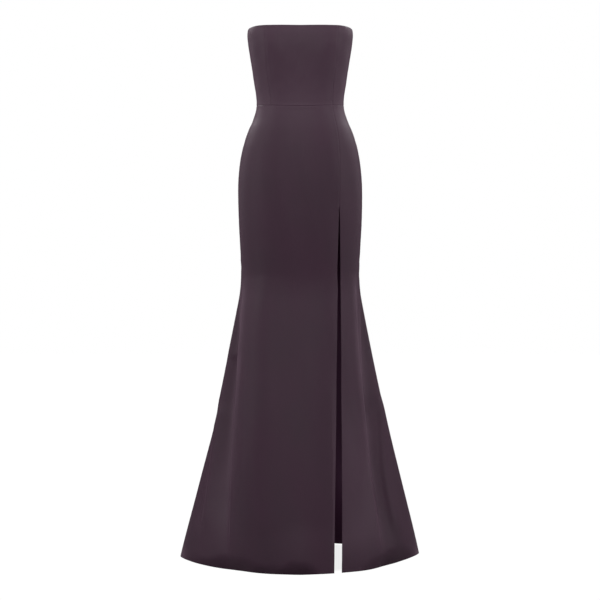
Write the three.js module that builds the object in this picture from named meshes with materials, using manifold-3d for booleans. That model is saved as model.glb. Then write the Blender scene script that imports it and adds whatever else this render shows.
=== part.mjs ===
// Strapless floor-length fit-and-flare gown, filled out as it stands when worn.
// Millimetres, +Z up. Origin: centre of the waist, on the level of the waist
// seam at the side seams. Front is -Y, the wearer's left is +X.
//
// Each panel is a wall of cloth over the same surface: a polar radius that
// depends on the angle around the body (0 = centre front, +90 = wearer's left
// side seam, 180 = centre back) and on the height.
import * as THREE from 'three';
import { mergeVertices } from 'three/addons/utils/BufferGeometryUtils.js';
import Module from 'manifold-3d';

// ---------- driving sizes ----------
const WALL = 1.6;             // cloth wall: shell fabric with its seam allowances
const SEAM_GAP = 0.3;         // between neighbouring panels
const TOP_BACK = 182.0;       // height of the top edge above the waist, centre back
const WAIST_SIDE = 3.4;       // waist seam at the side seams
const WAIST_DIP = 11.5;       // how far it dips towards centre front
const HEM_FRONT = -1166.0;    // where the flutes of the flare end
const HEM_BACK = -1175.0;
const SLIT_TOP = -264.0;      // the slit opens below this height

// Filled-out sections: half width at the side seams, depth of the front and of
// the back from the side seams' plane, and how square each half is (2 = ellipse).
const SECTIONS = [
  { z: 215, halfWidth: 141.4, front: 98, back: 92, squareFront: 3.4, squareBack: 2.7 },
  { z: 192, halfWidth: 138.9, front: 99, back: 92, squareFront: 3.4, squareBack: 2.7 },
  { z: 150, halfWidth: 133, front: 100.5, back: 92, squareFront: 3.2, squareBack: 2.6 },
  { z: 97, halfWidth: 124.7, front: 98, back: 88, squareFront: 3, squareBack: 2.45 },
  { z: 45, halfWidth: 116.7, front: 93.5, back: 80, squareFront: 2.8, squareBack: 2.3 },
  { z: 12, halfWidth: 112.8, front: 90.5, back: 75, squareFront: 2.6, squareBack: 2.2 },
  { z: -7, halfWidth: 114, front: 89.5, back: 76, squareFront: 2.45, squareBack: 2.2 },
  { z: -33, halfWidth: 121.9, front: 91, back: 81, squareFront: 2.35, squareBack: 2.2 },
  { z: -59, halfWidth: 133.2, front: 95, back: 89, squareFront: 2.3, squareBack: 2.2 },
  { z: -85, halfWidth: 142.5, front: 99, back: 98, squareFront: 2.3, squareBack: 2.2 },
  { z: -111, halfWidth: 149.5, front: 103, back: 107, squareFront: 2.3, squareBack: 2.2 },
  { z: -145, halfWidth: 155.7, front: 106, back: 116, squareFront: 2.3, squareBack: 2.2 },
  { z: -189, halfWidth: 160.2, front: 108, back: 123, squareFront: 2.3, squareBack: 2.2 },
  { z: -235, halfWidth: 161.3, front: 108.5, back: 124, squareFront: 2.3, squareBack: 2.2 },
  { z: -300, halfWidth: 159.7, front: 108, back: 118, squareFront: 2.3, squareBack: 2.2 },
  { z: -371, halfWidth: 155.6, front: 106, back: 109, squareFront: 2.3, squareBack: 2.2 },
  { z: -440, halfWidth: 153.2, front: 104, back: 105, squareFront: 2.3, squareBack: 2.15 },
  { z: -475, halfWidth: 155.7, front: 106, back: 107, squareFront: 2.35, squareBack: 2.1 },
  { z: -510, halfWidth: 161.4, front: 111, back: 112, squareFront: 2.4, squareBack: 2.05 },
  { z: -657, halfWidth: 189.9, front: 139, back: 138, squareFront: 2.6, squareBack: 1.95 },
  { z: -813, halfWidth: 223.7, front: 172, back: 170, squareFront: 2.8, squareBack: 1.85 },
  { z: -969, halfWidth: 262.3, front: 206, back: 203, squareFront: 2.8, squareBack: 1.8 },
  { z: -1125, halfWidth: 301.1, front: 240, back: 238, squareFront: 2.6, squareBack: 1.75 },
  { z: -1200, halfWidth: 318, front: 252, back: 254, squareFront: 2.4, squareBack: 1.75 },
];

// Below the knee the front hangs on as a flat-fronted column, and the flare's
// sides stand out from behind it: the column's half width and squareness on the
// wearer's right and left, how far forward the flare's own surface reaches, how
// square that is, and how softly the two run together.
const KNEE = -440;
const FLARE = [
  { z: -440, columnRight: 153.2, columnLeft: 153.2, squareRight: 2.3, squareLeft: 2.3, wing: 12, squareWing: 2, blend: 1 },
  { z: -475, columnRight: 154.6, columnLeft: 154.8, squareRight: 2.5, squareLeft: 2.3, wing: 24, squareWing: 2, blend: 2.5 },
  { z: -510, columnRight: 155.6, columnLeft: 156, squareRight: 2.8, squareLeft: 2.35, wing: 34, squareWing: 1.9, blend: 3.5 },
  { z: -600, columnRight: 157, columnLeft: 157.5, squareRight: 3.4, squareLeft: 2.5, wing: 54, squareWing: 1.7, blend: 6 },
  { z: -700, columnRight: 159.5, columnLeft: 163, squareRight: 3.8, squareLeft: 2.5, wing: 77, squareWing: 1.6, blend: 8 },
  { z: -800, columnRight: 164, columnLeft: 169, squareRight: 4, squareLeft: 2.4, wing: 101, squareWing: 1.55, blend: 12 },
  { z: -900, columnRight: 170, columnLeft: 176, squareRight: 3.9, squareLeft: 2.35, wing: 132, squareWing: 1.5, blend: 19 },
  { z: -1000, columnRight: 175, columnLeft: 189, squareRight: 3.6, squareLeft: 2.25, wing: 173, squareWing: 1.5, blend: 26 },
  { z: -1100, columnRight: 180, columnLeft: 203, squareRight: 3.2, squareLeft: 2.1, wing: 225, squareWing: 1.5, blend: 34 },
  { z: -1200, columnRight: 185, columnLeft: 214, squareRight: 2.8, squareLeft: 2, wing: 258, squareWing: 1.5, blend: 36 },
];

// Bust cups: rounded mounds shaped by the princess seams.
const CUP = { angle: 33, width: 18, height: 142, spreadUp: 42, spreadDown: 58, rise: 8 };

// Soft flutes of the flare: angle where each starts and where it meets the hem,
// its width in degrees, how far it stands out (+) or in (-) where it is deepest,
// and the height at which it starts. They fade again above the hem, which hangs
// in a smooth round.
const FLUTES = [
  { from: 74, to: 72, width: 5, rise: 4, start: -560 },
  { from: 101, to: 98, width: 8, rise: 2, start: -540 },
  { from: 112, to: 115, width: 8, rise: -8, start: -500 },
  { from: 128, to: 133, width: 9, rise: 9, start: -460 },
  { from: 146, to: 150, width: 8, rise: -8, start: -530 },
  { from: 163, to: 166, width: 9, rise: 7, start: -475 },
  { from: -176, to: -176, width: 8, rise: -9, start: -495 },
  { from: -160, to: -158, width: 9, rise: 8, start: -450 },
  { from: -143, to: -140, width: 8, rise: -7, start: -550 },
  { from: -126, to: -123, width: 9, rise: 9, start: -485 },
  { from: -108, to: -106, width: 7, rise: -7, start: -515 },
];

// Heights of the top edge and of the hem by angle; the top edge is the same on both sides.
const TOP = [
  { angle: 0, z: 195.4 }, { angle: 20, z: 195.8 }, { angle: 38, z: 196.5 }, { angle: 48, z: 197 },
  { angle: 55, z: 196.6 }, { angle: 59, z: 195.9 }, { angle: 63, z: 195.3 }, { angle: 70, z: 194 },
  { angle: 80, z: 192.2 }, { angle: 90, z: 190.6 }, { angle: 105, z: 190 }, { angle: 120, z: 188.4 },
  { angle: 150, z: 184.2 }, { angle: 181, z: 182 },
];
const HEM = [
  { angle: -181, z: -1175 }, { angle: -120, z: -1172 }, { angle: -87, z: -1167 }, { angle: -70, z: -1169 },
  { angle: -58, z: -1169.6 }, { angle: -45, z: -1168.8 }, { angle: -30, z: -1167.2 }, { angle: 0, z: -1165.6 },
  { angle: 25, z: -1166.8 }, { angle: 45, z: -1168.8 }, { angle: 58, z: -1166.4 }, { angle: 72, z: -1163 },
  { angle: 86, z: -1158.5 }, { angle: 120, z: -1165 }, { angle: 181, z: -1175 },
];

// Seams of the front, as sideways position by height.
const SEAM_BODICE_LEFT = [      // wearer's left princess seam
  { z: 215, x: 97 }, { z: 194, x: 96 }, { z: 149, x: 93.5 }, { z: 97, x: 90.5 },
  { z: 55, x: 84.5 }, { z: -10, x: 81.7 },
];
const SEAM_BODICE_RIGHT = [     // wearer's right princess seam
  { z: 215, x: -90 }, { z: 194, x: -89 }, { z: 123, x: -86 }, { z: 71, x: -82 },
  { z: 20, x: -74.5 }, { z: -10, x: -73 },
];
const SEAM_SKIRT = [            // skirt seam that carries the slit
  { z: 10, x: 81.2 }, { z: -8, x: 81.9 }, { z: -60, x: 93 }, { z: -111, x: 99.5 },
  { z: -180, x: 100.5 }, { z: -264, x: 98.7 },
];
const SLIT = [                  // the slit's two edges
  { z: -264, inner: 99.2, outer: 99.7 }, { z: -285, inner: 99.6, outer: 100.6 },
  { z: -320, inner: 99.2, outer: 101.4 }, { z: -397, inner: 98.2, outer: 102.2 },
  { z: -501, inner: 94.9, outer: 103 }, { z: -605, inner: 93, outer: 103.4 },
  { z: -761, inner: 90.6, outer: 103.6 }, { z: -917, inner: 88, outer: 104 },
  { z: -1021, inner: 85.9, outer: 104.1 }, { z: -1200, inner: 83.2, outer: 101.8 },
];

// Rows of the panels, as heights on the centre front.
const BODICE_ROWS = [195.4, 180, 165, 150, 135, 118, 100, 80, 58, 35, 14, -8.1];
const SKIRT_ROWS = [-8.1, -22, -37, -54, -74, -98, -128, -165, -210, -264, -285, -330,
  -385, -430, -462, -492, -530, -590, -670, -760, -860, -965, -1070, -1166];

// Centre-back concealed zip.
const TAPE = { width: 14, thick: 0.7, fromCentre: 1.3, bottom: -230, topClear: 3, gap: 0.5 };
const SLIDER = { z: 171, width: 5.6, length: 9, thick: 2.4, neckWidth: 1.0, neckLength: 3.2 };
const EYE = { thick: 1.4, radius: 1.8, hole: 0.85, stand: 2.1 };   // eye that carries the pull
const PULL = { length: 19, width: 7, thick: 1.1, barRadius: 0.5, slotHalf: 1.15, slotReach: 2.7 };
const NOTCH = { width: 1.8, length: 5.2 };                          // room for the slider's neck

// ---------- surface of the gown ----------
const rad = (deg) => (deg * Math.PI) / 180;

// Smooth curve through a table's column: cubic pieces with finite-difference slopes.
function along(table, column, where, key = 'z') {
  const n = table.length;
  const down = table[0][key] > table[n - 1][key];
  let i = 0;
  while (i < n - 2 && (down ? where < table[i + 1][key] : where > table[i + 1][key])) i++;
  const slope = (k) => {
    const a = Math.max(0, k - 1);
    const b = Math.min(n - 1, k + 1);
    return (table[b][column] - table[a][column]) / (table[b][key] - table[a][key]);
  };
  const h = table[i + 1][key] - table[i][key];
  const s = Math.min(1, Math.max(0, (where - table[i][key]) / h));
  const p0 = table[i][column];
  const p1 = table[i + 1][column];
  const m0 = slope(i) * h;
  const m1 = slope(i + 1) * h;
  return (2 * s ** 3 - 3 * s ** 2 + 1) * p0 + (s ** 3 - 2 * s ** 2 + s) * m0
    + (3 * s ** 2 - 2 * s ** 3) * p1 + (s ** 3 - s ** 2) * m1;
}

const turn = (a) => ((a + 540) % 360) - 180;
const bell = (d, w) => Math.exp(-(d * d) / (2 * w * w));

// The larger of two radii, rounded over the width w where they cross.
function joined(a, b, w) {
  const h = Math.max(w - Math.abs(a - b), 0) / w;
  return Math.max(a, b) + (h * h * w) / 4;
}

// Quarter of a section: its half width, its depth and how square it is.
function rounded(angle, half, depth, square) {
  return ((Math.abs(Math.sin(rad(angle))) / half) ** square
    + (Math.abs(Math.cos(rad(angle))) / depth) ** square) ** (-1 / square);
}

function radius(angle, z) {
  const front = Math.cos(rad(angle)) >= 0;
  const side = Math.sin(rad(angle)) > 0 ? 'Left' : 'Right';
  const half = along(SECTIONS, 'halfWidth', z);
  const depth = along(SECTIONS, front ? 'front' : 'back', z);
  const square = along(SECTIONS, front ? 'squareFront' : 'squareBack', z);
  let r;
  if (z >= KNEE) {
    r = rounded(angle, half, depth, square);
  } else {
    const column = along(FLARE, `column${side}`, z);
    const blend = along(FLARE, 'blend', z);
    r = front
      ? joined(rounded(angle, column, depth, along(FLARE, `square${side}`, z)),
        rounded(angle, half, along(FLARE, 'wing', z), along(FLARE, 'squareWing', z)), blend)
      : rounded(angle, joined(column, half, blend), depth, square);
  }
  const up = z > CUP.height ? CUP.spreadUp : CUP.spreadDown;
  for (const side of [-1, 1]) {
    r += CUP.rise * bell(turn(angle - side * CUP.angle), CUP.width) * bell(z - CUP.height, up);
  }
  for (const f of FLUTES) {
    if (z >= f.start) continue;
    const s = Math.min(1, (z - f.start) / (HEM_FRONT - f.start));
    const mid = f.from + (f.to - f.from) * s ** 0.7;
    r += f.rise * 1.9 * s ** 1.2 * (1 - 0.78 * s ** 4) * bell(turn(angle - mid), f.width);
  }
  return r;
}

function point(angle, z) {
  const r = radius(angle, z);
  return new THREE.Vector3(r * Math.sin(rad(angle)), -r * Math.cos(rad(angle)), z);
}

function outward(angle, z) {
  const round = point(angle + 1, z).sub(point(angle - 1, z));
  const rise = point(angle, z + 4).sub(point(angle, z - 4));
  return round.cross(rise).normalize();
}

// Angle at which the front surface reaches the sideways position x.
function angleAt(x, z) {
  let lo = 0;
  let hi = 88;
  for (let k = 0; k < 30; k++) {
    const mid = (lo + hi) / 2;
    if (radius(mid * Math.sign(x), z) * Math.sin(rad(mid)) < Math.abs(x)) lo = mid;
    else hi = mid;
  }
  return lo * Math.sign(x);
}

// Heights of the top edge, waist seam and hem around the body.
const topEdge = (angle) => along(TOP, 'z', Math.abs(angle), 'angle');
const waist = (angle) => WAIST_SIDE - WAIST_DIP * Math.max(0, Math.cos(rad(angle)));
const hem = (angle) => along(HEM, 'z', angle, 'angle');

// ---------- panels ----------
// A closed wall over a grid of (angle, height) pairs, grid[row][column].
function wall(grid, outside, thick) {
  const rows = grid.length;
  const cols = grid[0].length;
  const pos = [];
  for (const depth of [outside, outside + thick]) {
    for (const row of grid) {
      for (const [angle, z] of row) {
        const p = point(angle, z).addScaledVector(outward(angle, z), -depth);
        pos.push(p.x, p.y, p.z);
      }
    }
  }
  const id = (layer, i, j) => layer * rows * cols + i * cols + j;
  const tris = [];
  const quad = (a, b, c, d) => tris.push(a, b, c, a, c, d);
  for (let i = 0; i < rows - 1; i++) {
    for (let j = 0; j < cols - 1; j++) {
      quad(id(0, i, j), id(0, i + 1, j), id(0, i + 1, j + 1), id(0, i, j + 1));
      quad(id(1, i, j), id(1, i, j + 1), id(1, i + 1, j + 1), id(1, i + 1, j));
    }
  }
  for (let i = 0; i < rows - 1; i++) {
    quad(id(0, i, 0), id(1, i, 0), id(1, i + 1, 0), id(0, i + 1, 0));
    quad(id(0, i, cols - 1), id(0, i + 1, cols - 1), id(1, i + 1, cols - 1), id(1, i, cols - 1));
  }
  for (let j = 0; j < cols - 1; j++) {
    quad(id(0, 0, j), id(0, 0, j + 1), id(1, 0, j + 1), id(1, 0, j));
    quad(id(0, rows - 1, j), id(1, rows - 1, j), id(1, rows - 1, j + 1), id(0, rows - 1, j + 1));
  }
  const geometry = new THREE.BufferGeometry();
  geometry.setAttribute('position', new THREE.Float32BufferAttribute(pos, 3));
  geometry.setIndex(tris);
  return geometry;
}

// Grid of a panel between two seams (angle by height) and two edges (height by angle).
function panelGrid({ left, right, top, bottom, rows, columns }) {
  const first = rows[0];
  const last = rows[rows.length - 1];
  const half = SEAM_GAP / 2;
  return rows.map((row) => {
    const v = (first - row) / (first - last);
    return Array.from({ length: columns + 1 }, (_, j) => {
      const u = j / columns;
      let z = row;
      let angle = 0;
      for (let k = 0; k < 6; k++) {
        const a = left(z);
        const b = right(z);
        const da = (half * 180) / (Math.PI * radius(a, z));
        const db = (half * 180) / (Math.PI * radius(b, z));
        angle = a + da + (b - db - a - da) * u;
        z = top(angle) + (bottom(angle) - top(angle)) * v;
      }
      return [angle, z];
    });
  });
}

const cloth = (color) => new THREE.MeshStandardMaterial({
  color, roughness: 0.62, metalness: 0, side: THREE.DoubleSide,
});
const PLUM = new THREE.Color(0x3f323b);
const METAL = new THREE.Color(0x37303a);

const gown = new THREE.Group();
function add(name, geometry, material) {
  const mesh = new THREE.Mesh(geometry, material);
  mesh.name = name;
  gown.add(mesh);
}

const seam = (table) => (z) => angleAt(along(table, 'x', z), z);
const princessLeft = seam(SEAM_BODICE_LEFT);
const princessRight = seam(SEAM_BODICE_RIGHT);
const slitInner = (z) => (z > SLIT_TOP ? seam(SEAM_SKIRT)(z) : angleAt(along(SLIT, 'inner', z), z));
const slitOuter = (z) => (z > SLIT_TOP ? seam(SEAM_SKIRT)(z) : angleAt(along(SLIT, 'outer', z), z));
const at = (angle) => () => angle;

const bodiceTop = (a) => topEdge(a);
const bodiceBottom = (a) => waist(a) + SEAM_GAP / 2;
const skirtTop = (a) => waist(a) - SEAM_GAP / 2;

const PANELS = [
  { name: 'bodice_center_front', left: princessRight, right: princessLeft, columns: 12, part: 'bodice' },
  { name: 'bodice_side_front_left', left: princessLeft, right: at(90), columns: 6, part: 'bodice' },
  { name: 'bodice_side_front_right', left: at(-90), right: princessRight, columns: 6, part: 'bodice' },
  { name: 'bodice_back_left', left: at(90), right: at(180), columns: 9, part: 'bodice' },
  { name: 'bodice_back_right', left: at(-180), right: at(-90), columns: 9, part: 'bodice' },
  { name: 'skirt_front', left: at(-90), right: slitInner, columns: 22, part: 'skirt' },
  { name: 'skirt_side_front', left: slitOuter, right: at(90), columns: 10, part: 'skirt' },
  { name: 'skirt_back_left', left: at(90), right: at(180), columns: 12, part: 'skirt' },
  { name: 'skirt_back_right', left: at(-180), right: at(-90), columns: 12, part: 'skirt' },
];

// ---------- joining and cutting ----------
const wasm = await Module();
wasm.setup();

function toSolid(geometry) {
  const plain = geometry.clone();
  plain.deleteAttribute('normal');
  plain.deleteAttribute('uv');
  const merged = mergeVertices(plain, 1e-4);
  return new wasm.Manifold(new wasm.Mesh({
    numProp: 3,
    vertProperties: new Float32Array(merged.attributes.position.array),
    triVerts: new Uint32Array(merged.index.array),
  }));
}

function toGeometry(solid) {
  const mesh = solid.getMesh();
  const geometry = new THREE.BufferGeometry();
  geometry.setAttribute('position', new THREE.BufferAttribute(mesh.vertProperties, 3));
  geometry.setIndex(new THREE.BufferAttribute(mesh.triVerts, 1));
  return geometry;
}

// Centre-back surface at the slider.
const backY = radius(180, SLIDER.z);
const notch = new THREE.BoxGeometry(NOTCH.width, 12, NOTCH.length).translate(0, backY, SLIDER.z);

for (const p of PANELS) {
  const bodice = p.part === 'bodice';
  const grid = panelGrid({
    ...p,
    top: bodice ? bodiceTop : skirtTop,
    bottom: bodice ? bodiceBottom : hem,
    rows: bodice ? BODICE_ROWS : SKIRT_ROWS,
  });
  let geometry = wall(grid, 0, WALL);
  if (p.name.startsWith('bodice_back')) {
    geometry = toGeometry(toSolid(geometry).subtract(toSolid(notch)));
  }
  add(p.name, geometry, cloth(PLUM));
}

// ---------- concealed zip ----------
// Tapes: strips made from the panels' own points, moved inwards.
const rowsAtBack = (rows, top, bottom) => rows.map((z) => (
  top + ((bottom - top) * (rows[0] - z)) / (rows[0] - rows[rows.length - 1])));
const tapeRows = [
  ...rowsAtBack(BODICE_ROWS, TOP_BACK, bodiceBottom(180)),
  ...rowsAtBack(SKIRT_ROWS, skirtTop(180), HEM_BACK),
].filter((z) => z < TOP_BACK - TAPE.topClear - 2 && z > TAPE.bottom);
tapeRows.unshift(TOP_BACK - TAPE.topClear);
for (const [name, side] of [['zip_tape_left', 1], ['zip_tape_right', -1]]) {
  const grid = tapeRows.map((z) => {
    const toAngle = (d) => (d * 180) / (Math.PI * radius(180, z));
    const near = 180 - toAngle(TAPE.fromCentre);
    const far = 180 - toAngle(TAPE.fromCentre + TAPE.width);
    return side > 0 ? [[far, z], [near, z]] : [[-near, z], [-far, z]];
  });
  add(name, wall(grid, WALL + TAPE.gap, TAPE.thick), cloth(PLUM));
}

// A flat outline in the (y, z) plane, extruded to a plate of the given thickness along X.
function plateYZ(shape, thick) {
  const g = new THREE.ExtrudeGeometry(shape, { depth: thick, bevelEnabled: false, curveSegments: 8 });
  g.translate(0, 0, -thick / 2);
  // outline x -> y, outline y -> z, depth -> x
  g.applyMatrix4(new THREE.Matrix4().set(0, 0, 1, 0, 1, 0, 0, 0, 0, 1, 0, 0, 0, 0, 0, 1));
  return g;
}
// A flat outline in the (x, z) plane, extruded to a plate of the given thickness along Y.
function plateXZ(shape, thick) {
  const g = new THREE.ExtrudeGeometry(shape, { depth: thick, bevelEnabled: false, curveSegments: 8 });
  g.translate(0, 0, -thick / 2);
  return g.rotateX(Math.PI / 2);
}

const pivot = { y: backY + EYE.stand, z: SLIDER.z };
const bodyOuter = backY - WALL - TAPE.gap * 2 - TAPE.thick;   // outer face of the slider's body

// Slider body: a tapered shield inside the tapes.
const shield = new THREE.Shape();
const w = SLIDER.width / 2;
const l = SLIDER.length / 2;
shield.moveTo(-w * 0.62, -l);
shield.lineTo(w * 0.62, -l);
shield.quadraticCurveTo(w * 0.8, 0, w, l * 0.45);
shield.quadraticCurveTo(w * 0.95, l, 0, l);
shield.quadraticCurveTo(-w * 0.95, l, -w, l * 0.45);
shield.quadraticCurveTo(-w * 0.8, 0, -w * 0.62, -l);
const shieldPlate = plateXZ(shield, SLIDER.thick)
  .translate(0, bodyOuter - SLIDER.thick / 2, SLIDER.z);

const neckFrom = bodyOuter - 0.6;
const neckTo = pivot.y - EYE.radius * 0.6;
const neck = new THREE.BoxGeometry(SLIDER.neckWidth, neckTo - neckFrom, SLIDER.neckLength)
  .translate(0, (neckTo + neckFrom) / 2, SLIDER.z);

// Eye outside: a rounded lug with the hole for the pull's bar.
const lug = new THREE.Shape();
lug.moveTo(-(EYE.stand - 0.4), -EYE.radius);
lug.lineTo(0, -EYE.radius);
lug.absarc(0, 0, EYE.radius, -Math.PI / 2, Math.PI / 2, false);
lug.lineTo(-(EYE.stand - 0.4), EYE.radius);
lug.closePath();
const eyeHole = new THREE.Path();
eyeHole.absarc(0, 0, EYE.hole, 0, Math.PI * 2, true);
lug.holes.push(eyeHole);
const lugPlate = plateYZ(lug, EYE.thick).translate(0, pivot.y, pivot.z);

const slider = toSolid(shieldPlate).add(toSolid(neck)).add(toSolid(lugPlate));
add('zip_slider', toGeometry(slider), new THREE.MeshStandardMaterial({ color: METAL, roughness: 0.4, metalness: 0.6 }));

// Pull tab: a teardrop plate with a slot around the eye, and a bar through the eye's hole.
const tab = new THREE.Shape();
const reach = PULL.length;
tab.moveTo(-2.3, 1.1);
tab.quadraticCurveTo(0, 1.9, 2.3, 1.1);
tab.lineTo(2.3, -4.2);
tab.bezierCurveTo(2.5, -8, PULL.width / 2, -10, PULL.width / 2, -reach + 4.2);
tab.bezierCurveTo(PULL.width / 2, -reach + 0.6, 1.6, -reach, 0, -reach);
tab.bezierCurveTo(-1.6, -reach, -PULL.width / 2, -reach + 0.6, -PULL.width / 2, -reach + 4.2);
tab.bezierCurveTo(-PULL.width / 2, -10, -2.5, -8, -2.3, -4.2);
tab.closePath();
const tabPlate = plateXZ(tab, PULL.thick);
tabPlate.translate(0, pivot.y, pivot.z);
// slot: clears the eye all round its swing
const slot = new THREE.BoxGeometry(PULL.slotHalf * 2, PULL.thick * 3, PULL.slotReach + 3)
  .translate(0, pivot.y, pivot.z + 3 - (PULL.slotReach + 3) / 2);
const bar = new THREE.CylinderGeometry(PULL.barRadius, PULL.barRadius, 3.6, 12).rotateZ(Math.PI / 2)
  .translate(0, pivot.y, pivot.z);
const pull = toSolid(tabPlate).subtract(toSolid(slot)).add(toSolid(bar));
add('zip_pull', toGeometry(pull), new THREE.MeshStandardMaterial({ color: METAL, roughness: 0.35, metalness: 0.7 }));

export default gown;
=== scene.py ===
import math

import bpy
import numpy as np
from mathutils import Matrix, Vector


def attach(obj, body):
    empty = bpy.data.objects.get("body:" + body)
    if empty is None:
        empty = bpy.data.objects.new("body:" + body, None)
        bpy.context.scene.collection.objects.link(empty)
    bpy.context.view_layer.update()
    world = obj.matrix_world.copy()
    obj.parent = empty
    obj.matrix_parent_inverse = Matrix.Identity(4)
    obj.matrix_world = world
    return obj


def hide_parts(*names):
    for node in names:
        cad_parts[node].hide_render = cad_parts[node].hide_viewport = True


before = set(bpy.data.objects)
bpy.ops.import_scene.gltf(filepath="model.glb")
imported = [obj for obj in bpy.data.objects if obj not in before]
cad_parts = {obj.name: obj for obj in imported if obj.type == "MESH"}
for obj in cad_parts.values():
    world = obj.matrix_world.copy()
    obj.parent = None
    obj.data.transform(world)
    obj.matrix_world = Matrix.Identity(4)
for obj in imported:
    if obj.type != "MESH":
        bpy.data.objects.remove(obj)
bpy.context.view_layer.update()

MM = 0.001

# ------------------------------------------------------------------ sizes (mm)
# The same surface as the model's panels: a polar radius over the angle round
# the body (0 centre front, +90 wearer's left side seam, 180 centre back) and z.
WALL = 1.6
TOP_FRONT, TOP_BACK = 195.4, 182.0
WAIST_SIDE, WAIST_DIP = 3.4, 11.5
HEM_FRONT = -1166.0
SLIT_TOP = -264.0

SECTION_COLUMNS = ("z", "half", "front", "back", "sq_front", "sq_back")
SECTIONS = [
    (215, 141.4, 98, 92, 3.4, 2.7),
    (192, 138.9, 99, 92, 3.4, 2.7),
    (150, 133.0, 100.5, 92, 3.2, 2.6),
    (97, 124.7, 98, 88, 3.0, 2.45),
    (45, 116.7, 93.5, 80, 2.8, 2.3),
    (12, 112.8, 90.5, 75, 2.6, 2.2),
    (-7, 114.0, 89.5, 76, 2.45, 2.2),
    (-33, 121.9, 91, 81, 2.35, 2.2),
    (-59, 133.2, 95, 89, 2.3, 2.2),
    (-85, 142.5, 99, 98, 2.3, 2.2),
    (-111, 149.5, 103, 107, 2.3, 2.2),
    (-145, 155.7, 106, 116, 2.3, 2.2),
    (-189, 160.2, 108, 123, 2.3, 2.2),
    (-235, 161.3, 108.5, 124, 2.3, 2.2),
    (-300, 159.7, 108, 118, 2.3, 2.2),
    (-371, 155.6, 106, 109, 2.3, 2.2),
    (-440, 153.2, 104, 105, 2.3, 2.15),
    (-475, 155.7, 106, 107, 2.35, 2.1),
    (-510, 161.4, 111, 112, 2.4, 2.05),
    (-657, 189.9, 139, 138, 2.6, 1.95),
    (-813, 223.7, 172, 170, 2.8, 1.85),
    (-969, 262.3, 206, 203, 2.8, 1.8),
    (-1125, 301.1, 240, 238, 2.6, 1.75),
    (-1200, 318.0, 252, 254, 2.4, 1.75),
]
# Below the knee the front hangs on as a flat-fronted column, and the flare's
# sides stand out from behind it: the column's half width and squareness on the
# wearer's right and left, how far forward the flare's own surface reaches, how
# square that is, and how softly the two run together.
KNEE = -440
FLARE_COLUMNS = ("z", "col_right", "col_left", "sq_right", "sq_left", "wing", "sq_wing", "blend")
FLARE = [
    (-440, 153.2, 153.2, 2.3, 2.3, 12, 2.0, 1),
    (-475, 154.6, 154.8, 2.5, 2.3, 24, 2.0, 2.5),
    (-510, 155.6, 156.0, 2.8, 2.35, 34, 1.9, 3.5),
    (-600, 157.0, 157.5, 3.4, 2.5, 54, 1.7, 6),
    (-700, 159.5, 163.0, 3.8, 2.5, 77, 1.6, 8),
    (-800, 164.0, 169.0, 4.0, 2.4, 101, 1.55, 12),
    (-900, 170.0, 176.0, 3.9, 2.35, 132, 1.5, 19),
    (-1000, 175.0, 189.0, 3.6, 2.25, 173, 1.5, 26),
    (-1100, 180.0, 203.0, 3.2, 2.1, 225, 1.5, 34),
    (-1200, 185.0, 214.0, 2.8, 2.0, 258, 1.5, 36),
]
CUP_ANGLE, CUP_WIDTH, CUP_Z, CUP_UP, CUP_DOWN, CUP_RISE = 33, 18, 142, 42, 58, 8

# flutes of the flare: start angle, hem angle, width, rise, start height
FLUTES = [
    (74, 72, 5, 4, -560),
    (101, 98, 8, 2, -540),
    (112, 115, 8, -8, -500),
    (128, 133, 9, 9, -460),
    (146, 150, 8, -8, -530),
    (163, 166, 9, 7, -475),
    (-176, -176, 8, -9, -495),
    (-160, -158, 9, 8, -450),
    (-143, -140, 8, -7, -550),
    (-126, -123, 9, 9, -485),
    (-108, -106, 7, -7, -515),
]

# height of the top edge and of the hem edge by angle
TOP = [(0, 195.4), (20, 195.8), (38, 196.5), (48, 197.0), (55, 196.6), (59, 195.9), (63, 195.3), (70, 194.0),
       (80, 192.2), (90, 190.6), (105, 190.0), (120, 188.4), (150, 184.2), (181, 182.0)]
HEM = [(-181, -1175), (-120, -1172), (-87, -1167), (-70, -1169), (-58, -1169.6), (-45, -1168.8), (-30, -1167.2),
       (0, -1165.6), (25, -1166.8), (45, -1168.8), (58, -1166.4), (72, -1163), (86, -1158.5), (120, -1165),
       (181, -1175)]

SEAM_BODICE_LEFT = [(215, 97), (194, 96), (149, 93.5), (97, 90.5), (55, 84.5), (-10, 81.7)]
SEAM_BODICE_RIGHT = [(215, -90), (194, -89), (123, -86), (71, -82), (20, -74.5), (-10, -73)]
SEAM_SKIRT = [(10, 81.2), (-8, 81.9), (-60, 93), (-111, 99.5), (-180, 100.5), (-264, 98.7)]
SLIT_INNER = [(-264, 99.2), (-285, 99.6), (-320, 99.2), (-397, 98.2), (-501, 94.9), (-605, 93.0),
              (-761, 90.6), (-917, 88.0), (-1021, 85.9), (-1200, 83.2)]
SLIT_OUTER = [(-264, 99.7), (-285, 100.6), (-320, 101.4), (-397, 102.2), (-501, 103.0), (-605, 103.4),
              (-761, 103.6), (-917, 104.0), (-1021, 104.1), (-1200, 101.8)]
# darts of the hidden back: sideways position by height, each side of centre back
DART_BODICE = [(126, 66), (60, 61), (3, 57)]
DART_SKIRT = [(3, 57), (-60, 63), (-132, 69)]

SLIDER_Z = 171.0


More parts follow.
